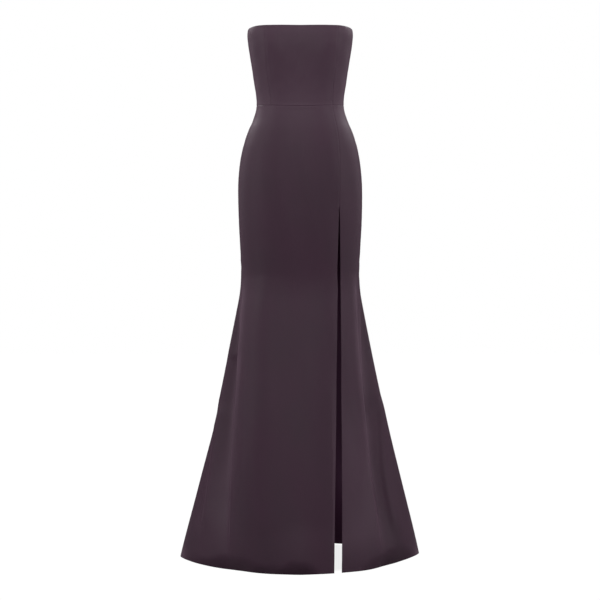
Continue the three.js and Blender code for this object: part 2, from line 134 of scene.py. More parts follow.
# ------------------------------------------------------------ surface functions
def along(rows, col, z):
    """Cubic through a table's column with finite-difference slopes, as in the model."""
    t = np.array(sorted(rows), dtype=float)
    zs, vs = t[:, 0], t[:, col]
    n = len(zs)
    m = np.empty(n)
    for k in range(n):
        a, b = max(0, k - 1), min(n - 1, k + 1)
        m[k] = (vs[b] - vs[a]) / (zs[b] - zs[a])
    z = np.asarray(z, dtype=float)
    i = np.clip(np.searchsorted(zs, z, side="right") - 1, 0, n - 2)
    h = zs[i + 1] - zs[i]
    s = np.clip((z - zs[i]) / h, 0, 1)
    return ((2 * s**3 - 3 * s**2 + 1) * vs[i] + (s**3 - 2 * s**2 + s) * m[i] * h
            + (3 * s**2 - 2 * s**3) * vs[i + 1] + (s**3 - s**2) * m[i + 1] * h)


# dense tables, so that the surface is quick to evaluate
ZT = np.linspace(-1230, 230, 2921)
SEC = {name: along(SECTIONS, k, ZT) for k, name in enumerate(SECTION_COLUMNS) if k}
SEC.update({name: along(FLARE, k, ZT) for k, name in enumerate(FLARE_COLUMNS) if k})


def sec(name, z):
    return np.interp(z, ZT, SEC[name])


def wrap(a):
    return (a + 540) % 360 - 180


def bell(d, w):
    return np.exp(-(d * d) / (2.0 * w * w))


def smooth(lo, hi, x):
    s = np.clip((x - lo) / (hi - lo), 0, 1)
    return s * s * (3 - 2 * s)


def joined(a, b, w):
    """The larger of two radii, rounded over the width w where they cross."""
    h = np.maximum(w - np.abs(a - b), 0) / w
    return np.maximum(a, b) + h * h * w / 4


def rounded(s_, c, half, depth, sq):
    return ((s_ / half) ** sq + (c / depth) ** sq) ** (-1 / sq)


def radius(angle, z):
    angle, z = np.broadcast_arrays(np.asarray(angle, float), np.asarray(z, float))
    a = np.radians(angle)
    c, s_ = np.cos(a), np.abs(np.sin(a))
    front, left, low = c >= 0, np.sin(a) > 0, z < KNEE
    half = sec("half", z)
    column = np.where(low, np.where(left, sec("col_left", z), sec("col_right", z)), half)
    sq = np.where(low, np.where(left, sec("sq_left", z), sec("sq_right", z)), sec("sq_front", z))
    blend = np.where(low, sec("blend", z), 1.0)
    wide = np.where(low, joined(column, half, blend), half)
    c = np.abs(c)
    r_column = rounded(s_, c, column, sec("front", z), sq)
    r_wing = rounded(s_, c, half, sec("wing", z), sec("sq_wing", z))
    r_front = np.where(low, joined(r_column, r_wing, blend), r_column)
    r = np.where(front, r_front, rounded(s_, c, wide, sec("back", z), sec("sq_back", z)))
    up = np.where(z > CUP_Z, CUP_UP, CUP_DOWN)
    for side in (-1, 1):
        r = r + CUP_RISE * bell(wrap(angle - side * CUP_ANGLE), CUP_WIDTH) * bell(z - CUP_Z, up)
    for a0, a1, width, rise, start in FLUTES:
        s = np.clip((z - start) / (HEM_FRONT - start), 0, 1)
        mid = a0 + (a1 - a0) * s**0.7
        r = r + rise * 1.9 * s**1.2 * (1 - 0.78 * s**4) * bell(wrap(angle - mid), width)
    return r


def point(angle, z):
    r = radius(angle, z)
    a = np.radians(angle)
    return np.stack([r * np.sin(a), -r * np.cos(a), np.broadcast_to(z, r.shape)], -1)


def outward(angle, z):
    round_ = point(angle + 0.8, z) - point(angle - 0.8, z)
    rise = point(angle, z + 3) - point(angle, z - 3)
    n = np.cross(round_, rise)
    return n / np.linalg.norm(n, axis=-1, keepdims=True)


def angle_at(x, z):
    """Angle where the front (or with x measured the same way, the back) reaches x."""
    x, z = np.broadcast_arrays(np.asarray(x, float), np.asarray(z, float))
    lo, hi = np.zeros_like(z), np.full_like(z, 88.0)
    sign = np.sign(x)
    for _ in range(34):
        mid = (lo + hi) / 2
        less = radius(mid * sign, z) * np.sin(np.radians(mid)) < np.abs(x)
        lo, hi = np.where(less, mid, lo), np.where(less, hi, mid)
    return lo * sign


def back_angle_at(x, z):
    x, z = np.broadcast_arrays(np.asarray(x, float), np.asarray(z, float))
    lo, hi = np.full_like(z, 92.0), np.full_like(z, 180.0)
    for _ in range(34):
        mid = (lo + hi) / 2
        more = radius(mid * np.sign(x), z) * np.sin(np.radians(mid)) > np.abs(x)
        lo, hi = np.where(more, mid, lo), np.where(more, hi, mid)
    return lo * np.sign(x)


def seam_line(table, find=angle_at):
    zs = np.linspace(-1230, 230, 731)
    angles = find(along(table, 1, zs), zs)
    return lambda z: np.interp(z, zs, angles)


def at(angle):
    return lambda z: np.full(np.shape(z), float(angle))


def top_edge(angle):
    return along(TOP, 1, np.abs(angle))


def waist(angle):
    return WAIST_SIDE - WAIST_DIP * np.maximum(0, np.cos(np.radians(angle)))


def hem(angle):
    return along(HEM, 1, angle)


def waves(u, v, seed, count, wide, tall):
    """Smooth unevenness: a fixed sum of slanted sines, about -1 to 1. wide and tall are wavelengths in mm."""
    rng = np.random.default_rng(seed)
    total = np.zeros(np.broadcast(u, v).shape)
    for _ in range(count):
        ku = 2 * np.pi / (wide * rng.uniform(0.6, 1.7)) * rng.choice([-1, 1])
        kv = 2 * np.pi / (tall * rng.uniform(0.6, 1.7))
        total += rng.uniform(0.5, 1.0) * np.sin(ku * u + kv * v + rng.uniform(0, 6.283))
    return total / (0.75 * math.sqrt(count) * 1.4)


# --------------------------------------------------------------------- materials
def new_material(name):
    m = bpy.data.materials.new(name)
    m.use_nodes = True
    nt = m.node_tree
    nt.nodes.clear()
    out = nt.nodes.new("ShaderNodeOutputMaterial")
    bsdf = nt.nodes.new("ShaderNodeBsdfPrincipled")
    nt.links.new(bsdf.outputs[0], out.inputs["Surface"])
    return m, nt, bsdf


def crepe(name, base, tint, rough, sheen, strength=0.35, cloth_map="cloth", with_painted_light=False):
    """Smooth dull-faced crepe: crossing irregular twisted threads, faint slubs and soft cloudiness."""
    m, nt, bsdf = new_material(name)
    N, L = nt.nodes.new, nt.links.new
    uv = N("ShaderNodeUVMap")
    uv.uv_map = cloth_map

    def stretched(sx, sy, detail, roughness):
        mp = N("ShaderNodeMapping")
        mp.inputs["Scale"].default_value = (sx, sy, 1)
        L(uv.outputs["UV"], mp.inputs["Vector"])
        no = N("ShaderNodeTexNoise")
        no.noise_dimensions = "2D"
        no.inputs["Scale"].default_value = 1.0
        no.inputs["Detail"].default_value = detail
        no.inputs["Roughness"].default_value = roughness
        L(mp.outputs["Vector"], no.inputs["Vector"])
        return no.outputs["Fac"]

    warp = stretched(2600, 900, 2, 0.6)      # threads down the cloth
    weft = stretched(800, 2400, 2, 0.6)      # threads across it
    slub = stretched(160, 420, 2, 0.5)
    cloud = stretched(9, 6, 3, 0.55)

    def mix(fac, a, b):
        mx = N("ShaderNodeMix")
        mx.data_type = "RGBA"
        if isinstance(fac, float):
            mx.inputs["Factor"].default_value = fac
        else:
            L(fac, mx.inputs["Factor"])
        for socket, value in (("A", a), ("B", b)):
            s = [i for i in mx.inputs if i.name == socket and i.type == "RGBA"][0]
            if isinstance(value, tuple):
                s.default_value = (*value, 1)
            else:
                L(value, s)
        return [o for o in mx.outputs if o.type == "RGBA"][0]

    def ramp(src, lo, hi):
        mr = N("ShaderNodeMapRange")
        mr.inputs["From Min"].default_value = 0.3
        mr.inputs["From Max"].default_value = 0.7
        mr.inputs["To Min"].default_value = lo
        mr.inputs["To Max"].default_value = hi
        L(src, mr.inputs["Value"])
        return mr.outputs["Result"]

    def math_node(op, a, b):
        mn = N("ShaderNodeMath")
        mn.operation = op
        for k, v in enumerate((a, b)):
            if isinstance(v, float):
                mn.inputs[k].default_value = v
            else:
                L(v, mn.inputs[k])
        return mn.outputs[0]

    thread = math_node("MAXIMUM", warp, weft)
    hot = tuple(c * t for c, t in zip(base, tint))
    soft = mix(ramp(cloud, 0.0, 1.0), base, hot)
    dark = tuple(c * 0.80 for c in base)
    col = mix(ramp(thread, 0.55, 0.0), soft, dark)
    if with_painted_light:      # painted light: the colour is made lighter by the per-point attribute, as painted highlights along fold crests and painted light over the waist
        painted_light_attr = N("ShaderNodeAttribute")
        painted_light_attr.attribute_name = "painted_light"
        col = mix(painted_light_attr.outputs["Fac"], col, tuple(c * t for c, t in zip(base, (1.89, 2.12, 1.94))))
    L(col, bsdf.inputs["Base Color"])
    L(ramp(slub, rough - 0.035, rough + 0.035), bsdf.inputs["Roughness"])
    bsdf.inputs["Specular IOR Level"].default_value = 0.12
    bsdf.inputs["Sheen Weight"].default_value = sheen
    bsdf.inputs["Sheen Roughness"].default_value = 0.35
    bsdf.inputs["Sheen Tint"].default_value = (0.85, 0.60, 0.76, 1)
    height = math_node("ADD", thread, math_node("MULTIPLY", slub, 0.6))
    bump = N("ShaderNodeBump")
    bump.inputs["Strength"].default_value = strength
    bump.inputs["Distance"].default_value = 0.00012
    L(height, bump.inputs["Height"])
    L(bump.outputs["Normal"], bsdf.inputs["Normal"])
    return m


PLUM = (0.0400, 0.0210, 0.0330)
FACE = crepe("crepe_face", PLUM, (1.10, 0.98, 1.06), 0.50, 0.06, with_painted_light=True)
WRONG = crepe("crepe_wrong_side", tuple(c * 0.92 for c in PLUM), (1.08, 0.98, 1.05), 0.44, 0.05)
TAPE = crepe("zip_tape_knit", (0.038, 0.024, 0.033), (1.1, 1.0, 1.05), 0.62, 0.1)


def enamel(name):
    m, nt, bsdf = new_material(name)
    N, L = nt.nodes.new, nt.links.new
    co = N("ShaderNodeTexCoord")
    no = N("ShaderNodeTexNoise")
    no.inputs["Scale"].default_value = 900
    no.inputs["Detail"].default_value = 3
    L(co.outputs["Object"], no.inputs["Vector"])
    rp = N("ShaderNodeMapRange")
    rp.inputs["To Min"].default_value = 0.26
    rp.inputs["To Max"].default_value = 0.38
    L(no.outputs["Fac"], rp.inputs["Value"])
    L(rp.outputs["Result"], bsdf.inputs["Roughness"])
    mx = N("ShaderNodeMix")
    mx.data_type = "RGBA"
    L(no.outputs["Fac"], mx.inputs["Factor"])
    a, b = [i for i in mx.inputs if i.type == "RGBA"]
    a.default_value = (0.040, 0.027, 0.036, 1)
    b.default_value = (0.058, 0.040, 0.052, 1)
    L([o for o in mx.outputs if o.type == "RGBA"][0], bsdf.inputs["Base Color"])
    bsdf.inputs["Metallic"].default_value = 0.35
    bsdf.inputs["Coat Weight"].default_value = 0.6
    bsdf.inputs["Coat Roughness"].default_value = 0.2
    bp = N("ShaderNodeBump")
    bp.inputs["Strength"].default_value = 0.15
    bp.inputs["Distance"].default_value = 0.00005
    L(no.outputs["Fac"], bp.inputs["Height"])
    L(bp.outputs["Normal"], bsdf.inputs["Normal"])
    return m


ENAMEL = enamel("zip_enamel")

# ------------------------------------------------------------------ panel meshes
EDGE = np.array([0, 0.16, 0.4, 0.75, 1.2, 1.8, 2.6, 3.6, 5.0, 7.0, 9.6, 12.6])
K = len(EDGE)


def spread(lo_edge, hi_edge, lo_speed, hi_speed, n_mid):
    """Positions between two guides: close together beside each, even between. Arrays in, (..., n) out."""
    lo = lo_edge[..., None] + EDGE / lo_speed[..., None]
    hi = hi_edge[..., None] - EDGE[::-1] / hi_speed[..., None]
    a, b = lo[..., -1:], hi[..., :1]
    t = np.linspace(0, 1, n_mid + 2)[1:-1]
    return np.concatenate([lo, a + (b - a) * t, hi], -1)


def speed(angle, z):
    """Millimetres of cloth per degree round the body."""
    return np.linalg.norm(point(angle + 0.25, z) - point(angle - 0.25, z), axis=-1) / 0.5


def mesh_object(name, verts_mm, faces, mats, mat_index, uv=None):
    me = bpy.data.meshes.new(name)
    verts = np.asarray(verts_mm, dtype=np.float64) * MM
    faces = np.asarray(faces, dtype=np.int32)
    me.vertices.add(len(verts))
    me.vertices.foreach_set("co", verts.ravel())
    nloop = faces.shape[1]
    me.loops.add(faces.size)
    me.loops.foreach_set("vertex_index", faces.ravel())
    me.polygons.add(len(faces))
    me.polygons.foreach_set("loop_start", np.arange(0, faces.size, nloop, dtype=np.int32))
    me.polygons.foreach_set("loop_total", np.full(len(faces), nloop, dtype=np.int32))
    for m in mats:
        me.materials.append(m)
    me.polygons.foreach_set("material_index", np.asarray(mat_index, dtype=np.int32))
    me.update(calc_edges=True)
    me.polygons.foreach_set("use_smooth", np.ones(len(faces), dtype=bool))
    if uv is not None:
        layer = me.uv_layers.new(name="cloth")
        layer.uv.foreach_set("vector", np.asarray(uv, dtype=np.float32)[faces.ravel()].ravel())
    me.validate()
    ob = bpy.data.objects.new(name, me)
    bpy.context.scene.collection.objects.link(ob)
    return ob


def shell(name, outer, inner, mats, uv_grid, painted_light=None):
    """Closed wall between two grids of points (rows, columns, 3): face outside, wrong side inside."""
    R, C = outer.shape[:2]
    idx = np.arange(R * C).reshape(R, C)
    off = R * C

    def quads(a, b, c, d):
        return np.stack([a.ravel(), b.ravel(), c.ravel(), d.ravel()], -1)

    f_out = quads(idx[:-1, :-1], idx[1:, :-1], idx[1:, 1:], idx[:-1, 1:])
    j = idx + off
    f_in = quads(j[:-1, :-1], j[:-1, 1:], j[1:, 1:], j[1:, :-1])
    f_l = quads(idx[:-1, 0], j[:-1, 0], j[1:, 0], idx[1:, 0])
    f_r = quads(idx[:-1, -1], idx[1:, -1], j[1:, -1], j[:-1, -1])
    f_t = quads(idx[0, :-1], idx[0, 1:], j[0, 1:], j[0, :-1])
    f_b = quads(idx[-1, :-1], j[-1, :-1], j[-1, 1:], idx[-1, 1:])
    faces = np.concatenate([f_out, f_l, f_r, f_t, f_b, f_in])
    index = np.zeros(len(faces), int)
    index[-len(f_in):] = 1 if len(mats) > 1 else 0
    verts = np.concatenate([outer.reshape(-1, 3), inner.reshape(-1, 3)])
    uv = np.concatenate([uv_grid.reshape(-1, 2), uv_grid.reshape(-1, 2)])
    ob = mesh_object(name, verts, faces, mats, index, uv)
    # the painted light kept per point on the outer face, which the face material adds to its colour
    if painted_light is not None:
        layer = ob.data.attributes.new("painted_light", "FLOAT", "POINT")
        layer.data.foreach_set("value", np.concatenate([painted_light.ravel(), np.zeros(R * C)]).astype(np.float32))
    return ob


princess_left = seam_line(SEAM_BODICE_LEFT)
princess_right = seam_line(SEAM_BODICE_RIGHT)
_seam_skirt = seam_line(SEAM_SKIRT)
_slit_in = seam_line(SLIT_INNER)
_slit_out = seam_line(SLIT_OUTER)


def slit_inner(z):
    return np.where(z > SLIT_TOP, _seam_skirt(z), np.minimum(_slit_in(z), _seam_skirt(np.maximum(z, SLIT_TOP))))


def slit_outer(z):
    return np.where(z > SLIT_TOP, _seam_skirt(z), _slit_out(z))


dart_bodice_l = seam_line(DART_BODICE, back_angle_at)
dart_skirt_l = seam_line(DART_SKIRT, back_angle_at)


def mirrored(f):
    return lambda z: -f(z)


def free(e, rho=1.1):
    """How much a face rolls towards the other within rho of a folded free edge, 0 to 1."""
    t = np.clip(1 - e / rho, 0, 1)
    return 1 - np.sqrt(np.maximum(0, 1 - t * t))


def panel(name, node, left, right, part, columns, kinds, guides=(), guide_range=None, flat=None):
    """kinds: what the left, right, top and bottom edges are: seam, free or slit."""
    bodice = part == "bodice"
    top = top_edge if bodice else waist
    bottom = waist if bodice else hem
    n_rows = 44 if bodice else 205
    seam_gap = 0.03
    # rows: fractions first, at the front's heights, then settled with the seams
    lines = [left, *guides, right]
    z = None
    first = np.full(1, TOP_FRONT if bodice else -8.1)
    last = np.full(1, -8.1 if bodice else HEM_FRONT)
    one = np.ones(1)
    z = np.repeat(spread(-first, -last, one, one, n_rows)[0][:, None] * -1, 3, axis=1)
    for step in range(5):
        zz = z[:, z.shape[1] // 2]
        parts = []
        zc = [z[:, 0]] + [z[:, z.shape[1] // 2]] * len(guides) + [z[:, -1]]
        for k in range(len(lines) - 1):
            za, zb = zc[k], zc[k + 1]
            a, b = lines[k](za), lines[k + 1](zb)
            if k == 0 and name.startswith("bodice_back_right"):
                a = a + zip_part(za) / speed(a, za)
            if k == len(lines) - 2 and name.startswith("bodice_back_left"):
                b = b - zip_part(zb) / speed(b, zb)
            a = a + (seam_gap / speed(a, za) if k == 0 else 0)
            b = b - (seam_gap / speed(b, zb) if k == len(lines) - 2 else 0)
            cols = spread(a, b, speed(a, za), speed(b, zb), columns[k])
            parts.append(cols if k == 0 else cols[:, 1:])
        ang = np.concatenate(parts, -1)
        zt, zb_ = top(ang) - (0 if bodice else seam_gap), bottom(ang) + (seam_gap if bodice else 0)
        rows = spread(-zt, -zb_, np.ones_like(zt), np.ones_like(zb_), n_rows)   # (R, C, n)
        R = rows.shape[0]
        # each row i takes its own fraction of its column
        z = -rows[np.arange(R)[:, None], np.arange(ang.shape[1])[None, :], np.arange(R)[:, None]]
    P = point(ang, z)
    Nn = outward(ang, z)
    sp = speed(ang, z)
    e_l = (ang - ang[:, :1]) * speed(ang[:, :1], z[:, :1])
    e_r = (ang[:, -1:] - ang) * speed(ang[:, -1:], z[:, -1:])
    e_t = zt - z
    e_b = z - zb_
    arc = np.radians(ang) * 150.0           # a steady sideways measure for the unevenness

    out = np.zeros_like(z)
    inn = np.full_like(z, WALL)
    # seams: a fine sunken line, the cloth slightly raised over the pressed allowances, and faint puckers
    edges = dict(l=(e_l, z), r=(e_r, z), t=(e_t, arc), b=(e_b, arc))
    for k, (key, kind) in enumerate(zip("lrtb", kinds)):
        e, run = edges[key]
        if kind == "seam":
            deep = 0.5 if key in "tb" else 0.06 + 0.30 * smooth(135, 35, z) if bodice else 0.2
            pucker = waves(run, e * 0.3, 11 + k + len(name), 5, 17, 60)
            out += -deep * np.exp(-(e / 0.7) ** 1.2)
            if bodice and key == "b":       # pressed ridge just above the waist seam
                out += 0.34 * np.exp(-((e - 1.9) / 1.1) ** 2) * (0.75 + 0.35 * pucker)
            out += (0.22 + 0.10 * pucker) * np.exp(-((e - 4.0) / 3.6) ** 2) * smooth(0, 1.5, e)
            out += 0.10 * waves(run, e, 31 + k + len(name), 6, 9, 40) * np.exp(-e / 5.0) * smooth(0, 1.0, e)
            allow = 1 - smooth(10.5, 11.3, e)
            if not (key in "lr" and abs(abs(float((left if key == "l" else right)(np.array(0.0)))) - 180) < 1):
                inn += 0.55 * allow
            else:
                inn += 0.55 * allow * (z < -236)
        elif kind in ("free", "slit"):
            turned = {"t": 16.0, "b": 24.0}.get(key, 26.0)
            opened = 1.0
            if kind == "slit":
                opened = smooth(SLIT_TOP + 1, SLIT_TOP - 14, z)
                out += -0.22 * np.exp(-(e / 0.7) ** 1.2) * (1 - opened)
                out += 0.22 * np.exp(-((e - 4.0) / 3.6) ** 2) * (1 - opened)
            out -= WALL * 0.5 * free(e) * opened
            inn -= WALL * 0.42 * free(e) * opened
            inn += 0.5 * (1 - smooth(turned - 0.6, turned + 0.3, e)) * smooth(0.4, 2.4, e) * opened
            # the turned-in cloth just shows through as a soft step
            out += 0.10 * (1 - smooth(turned - 3.0, turned + 3.0, e)) * smooth(0, 3, e) * opened
    for g in guides if guide_range else ():
        e = np.abs(ang - g(z)) * sp
        lo, hi = guide_range
        on = smooth(lo, lo + 25, z) * (1 - smooth(hi - 25, hi, z))
        out += (-0.55 * np.exp(-(e / 0.8) ** 1.2) + 0.12 * np.exp(-((e - 3.5) / 3.0) ** 2)) * on
    worn = relief(ang, z, arc, bodice)
    out += worn
    if not bodice:      # the wrong side follows the folds below the zip
        inn -= (worn - np.clip(worn, -0.4, 0.4)) * smooth(-250, -300, z)
    else:               # the cloth lies flat under the zip pull
        out -= (np.maximum(out, 0) + 0.12) * smooth(164, 169, np.abs(ang)) * smooth(120, 135, z)
    if bodice:      # the top edge leans in to the body, more at the sides
        out -= (1.3 + 2.0 * smooth(12, 60, np.abs(ang))) * np.clip(1 - e_t / 24, 0, 1) ** 2
        inn += (1.3 + 2.0 * smooth(12, 60, np.abs(ang))) * np.clip(1 - e_t / 24, 0, 1) ** 2
    if not bodice:
        out += hem_curl(ang, z, e_b)
        drop = hem_curl(ang, z, e_b)
        inn -= drop
    outer = P + Nn * out[..., None]
    inner = P - Nn * inn[..., None]
    # cut's own coordinates, in metres: across and down
    across = np.concatenate([np.zeros((R, 1)), np.cumsum(np.linalg.norm(np.diff(P, axis=1), axis=-1), 1)], 1)
    mid = P.shape[1] // 2
    across = across - across[:, mid:mid + 1]
    down = np.concatenate([[0], np.cumsum(np.linalg.norm(np.diff(P[:, mid], axis=0), axis=-1))])
    uv = np.stack([across * MM, np.broadcast_to(-down[:, None], across.shape) * MM], -1)
    ob = shell(name, outer, inner, [FACE, WRONG], uv, painted_light_of(ang, z, bodice, e_t, e_b))
    area = 0.0
    d1, d2 = P[1:, 1:] - P[:-1, :-1], P[1:, :-1] - P[:-1, 1:]
    area = float(np.linalg.norm(np.cross(d1, d2), axis=-1).sum() / 2) * 1e-6
    width = float(np.ptp(across, axis=1).max()) * MM
    length = float(down[-1]) * MM
    print(f"CUT {name} width {width:.4f} length {length:.4f} area {area:.4f} tris {len(ob.data.polygons) * 2}")
    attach(ob, "gown")
    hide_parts(node)
    w, l, a = flat if flat else (round(width, 3), round(length, 3), round(area, 4))
    return ob


def zip_part(z):
    """Half the parting of the seam round the slider's neck, mm."""
    return 0.85 * smooth(SLIDER_Z - 6, SLIDER_Z - 2.6, z) * (1 - smooth(SLIDER_Z + 2.6, SLIDER_Z + 6, z))


# Folds that run down the flare, as steps: sideways position by
# height, heights between which it shows, step in mm and its softness in mm at
# the top and at the bottom. The surface is higher on the inner side of each.
FOLDS = [
    ([(-420, -148), (-501, -149), (-577, -152.5), (-653, -158), (-755, -166.5), (-857, -171.5), (-958, -175),
      (-1059, -177)], -450, -1165, (5.0, 6.5), (3.2, 9)),
    ([(-420, 141), (-501, 144), (-577, 146), (-653, 151), (-755, 160), (-857, 172.5), (-958, 183), (-1059, 197),
      (-1170, 208)], -450, -1160, (4.6, 5.5), (3.0, 6.5)),
    ([(-700, -214), (-800, -222), (-951, -236), (-1060, -250)], -760, -1110, (3.4, 4.2), (7, 8)),
    ([(-700, 196), (-800, 204), (-951, 213), (-1100, 240)], -740, -1130, (-3.0, -4.0), (6, 8)),
]
fold_lines = [seam_line(rows) for rows, *_ in FOLDS]


def relief(ang, z, arc, bodice):
    """Soft unevenness of worn cloth, mm along the normal."""
    d = np.zeros_like(z)
    if not bodice:
        sp = speed(ang, z)
        for line, (rows, hi, lo, step, soft) in zip(fold_lines, FOLDS):
            a0 = line(z)
            e = np.where(a0 * ang > 0, np.abs(ang) - np.abs(a0), -99) * sp
            down = np.clip((hi - z) / (hi - lo), 0, 1)
            on = smooth(0, 0.12, down) * (1 - smooth(0.8, 1.0, down))
            w = soft[0] + (soft[1] - soft[0]) * down**1.5
            tall = step[0] + (step[1] - step[0]) * down
            d += -tall * np.tanh(e / w) * bell(e, 3.2 * w + 5) * on
    if bodice:
        d += 0.35 * waves(arc, z, 5, 6, 70, 55) * smooth(0, 30, z - 10) * smooth(0, 25, 190 - z)
        return d
    low = smooth(-120, -420, z)
    d += 0.45 * waves(arc, z, 7, 7, 75, 420) * smooth(-20, -160, z)
    d += 0.7 * waves(arc, z, 8, 6, 110, 700) * low
    # short drag lines that fan from the side seams below the waist and fade over the hip
    for side, z0, tilt, depth in ((1, -52, 0.32, 0.5), (-1, -44, 0.28, 0.6), (1, -88, 0.2, 0.35),
                                  (-1, -97, 0.24, 0.4), (1, -398, -0.15, 0.7), (-1, -415, -0.18, 0.8),
                                  (1, -432, -0.1, 0.5), (-1, -380, -0.1, 0.4)):
        run = np.abs(wrap(ang - side * 90))
        line = z - (z0 + tilt * run)
        d += -depth * bell(line, 6.5) * (1 - smooth(6, 34, run))
    return d


# painted highlight along the crest of each fold: height, strength, width on the inner side and on the outer side, mm
PAINTED_FOLD_HIGHLIGHT_RIGHT = [(-440, 0.0, 5, 5), (-520, 1.0, 5.5, 5), (-680, 1.0, 5, 7), (-780, 1.0, 4.5, 8), (-880, 1.0, 4, 11),
               (-931, 0.9, 4, 15), (-981, 0.5, 3.5, 26), (-1032, 0.35, 3.5, 34), (-1082, 0.15, 3.5, 40),
               (-1150, 0.0, 5, 45)]
PAINTED_FOLD_HIGHLIGHT_LEFT = [(-430, 0.0, 5, 5), (-510, 1.0, 6, 5), (-680, 1.0, 6, 10), (-780, 1.0, 7, 8), (-830, 1.0, 9, 8),
              (-880, 0.85, 12, 7), (-931, 0.65, 14, 7), (-981, 0.5, 14, 8), (-1082, 0.42, 14, 7), (-1150, 0.0, 14, 7)]


# painted light: the cloth's colour is a little lighter from the upper hips over the waist and bodice, most just above
# the waist seam and at the top edge: heights and strengths
PAINTED_WAIST_LIGHT = ([-110, -75, -35, -8, 10, 30, 60, 106, 144, 168, 184, 197],
               [0.0, 0.10, 0.33, 0.52, 0.58, 0.50, 0.38, 0.26, 0.20, 0.26, 0.46, 0.50])


def painted_light_of(ang, z, bodice, e_t, e_b):
    """How much painted light lightens the cloth's colour, 0 to 1: painted highlights along the fold crests, just
    above the waist seam and at the hem's side corners, and painted light over the waist and beside the slit.
    """
    front = smooth(124, 100, np.abs(wrap(ang)))
    c = np.interp(z, PAINTED_WAIST_LIGHT[0], PAINTED_WAIST_LIGHT[1]) * front * smooth(92, 66, np.abs(wrap(ang)))
    if bodice:
        # a painted highlight in a broken line just above the waist seam
        broken = 0.65 + 0.35 * waves(ang, 0 * z, 55, 5, 22, 1e6)
        return np.clip(c + 0.5 * np.exp(-((e_b - 1.7) / 1.0) ** 2) * np.clip(broken, 0, 1), 0, 1)
    x = point(ang, z)[..., 0]
    for k, rows in ((0, PAINTED_FOLD_HIGHLIGHT_RIGHT), (1, PAINTED_FOLD_HIGHLIGHT_LEFT)):
        ridge = along(FOLDS[k][0], 1, z)
        d = np.where(x * ridge > 0, np.abs(x) - np.abs(ridge), -999)
        much, inner, outer = (along(rows, n, z) for n in (1, 2, 3))
        c += much * bell(d, np.where(d < 0, inner, outer)) * front * (0.9 + 0.1 * waves(z, d, 61 + k, 4, 160, 900))
    # painted light on the narrow panel beside the slit, between its edge and the fold
    ridge = along(FOLDS[1][0], 1, z)
    c = np.maximum(c, 0.36 * smooth(-640, -900, z) * smooth(-1165, -1080, z) * smooth(ridge + 6, ridge - 6, x)
                   * (x > 80) * front)
    # painted highlight at each side corner of the hem
    c += 0.85 * bell(np.abs(x) - 306, 8) * bell(z + 1156, 13)
    return np.clip(c, 0, 1)


def hem_curl(ang, z, e_b):
    """The turned hem rolls inwards in some stretches: middle angle, half reach, depth, height."""
    d = np.zeros_like(z)
    ragged = 1 + 0.12 * waves(ang * 5.2, 0 * z, 71, 5, 170, 1e6)
    for mid, reach, depth, tall in HEM_ROLLS:
        on = 1 - smooth(0.25, 1.35, np.abs(wrap(ang - mid)) / reach)
        t = np.clip(1 - e_b / (tall * np.clip(ragged, 0.6, 1.5) * (0.45 + 0.55 * on)), 0, 1)
        d += -depth * on * t**1.5
    return d


# stretches where the hem rolls under
HEM_ROLLS = [(-70, 9, 4.0, 22), (-44, 22, 15.0, 34), (-18, 10, 7.0, 24), (-1, 10, 15.0, 30), (52, 12, 9.0, 30),
             (67, 13, 15.0, 42), (118, 14, 12.0, 34), (150, 13, 5.0, 24), (-172, 17, 12.0, 32), (-128, 16, 14.0, 38)]


BODICE = ["bodice_center_front", "bodice_side_front_left", "bodice_side_front_right", "bodice_back_left",
          "bodice_back_right"]
panel("bodice_center_front_cloth", BODICE[0], princess_right, princess_left, "bodice", [46],
      ("seam", "seam", "free", "seam"))
panel("bodice_side_front_left_cloth", BODICE[1], princess_left, at(90), "bodice", [22],
      ("seam", "seam", "free", "seam"))
panel("bodice_side_front_right_cloth", BODICE[2], at(-90), princess_right, "bodice", [22],
      ("seam", "seam", "free", "seam"))
panel("bodice_back_left_cloth", BODICE[3], at(90), at(180), "bodice", [14, 10],
      ("seam", "seam", "free", "seam"), guides=[dart_bodice_l], guide_range=(-40, 126))
panel("bodice_back_right_cloth", BODICE[4], at(-180), at(-90), "bodice", [10, 14],
      ("seam", "seam", "free", "seam"), guides=[mirrored(dart_bodice_l)], guide_range=(-40, 126))

panel("skirt_front_cloth", "skirt_front", at(-90), slit_inner, "skirt", [24, 92],
      ("seam", "slit", "seam", "free"), guides=[lambda z: np.maximum(fold_lines[0](z), -74.5)])
panel("skirt_side_front_cloth", "skirt_side_front", slit_outer, at(90), "skirt", [34, 30],
      ("slit", "seam", "seam", "free"), guides=[lambda z: np.minimum(fold_lines[1](z), 74)])
panel("skirt_back_left_cloth", "skirt_back_left", at(90), at(180), "skirt", [40, 28],
      ("seam", "seam", "seam", "free"), guides=[dart_skirt_l], guide_range=(-132, 60))
panel("skirt_back_right_cloth", "skirt_back_right", at(-180), at(-90), "skirt", [28, 40],
      ("seam", "seam", "seam", "free"), guides=[mirrored(dart_skirt_l)], guide_range=(-132, 60))

# ------------------------------------------------------------------ concealed zip
ZIP_TOP, ZIP_LOW = 179.0, -210.5
TAPE_IN, TAPE_THICK, TAPE_FROM, TAPE_WIDE = WALL + 0.5, 0.7, 1.3, 14.0


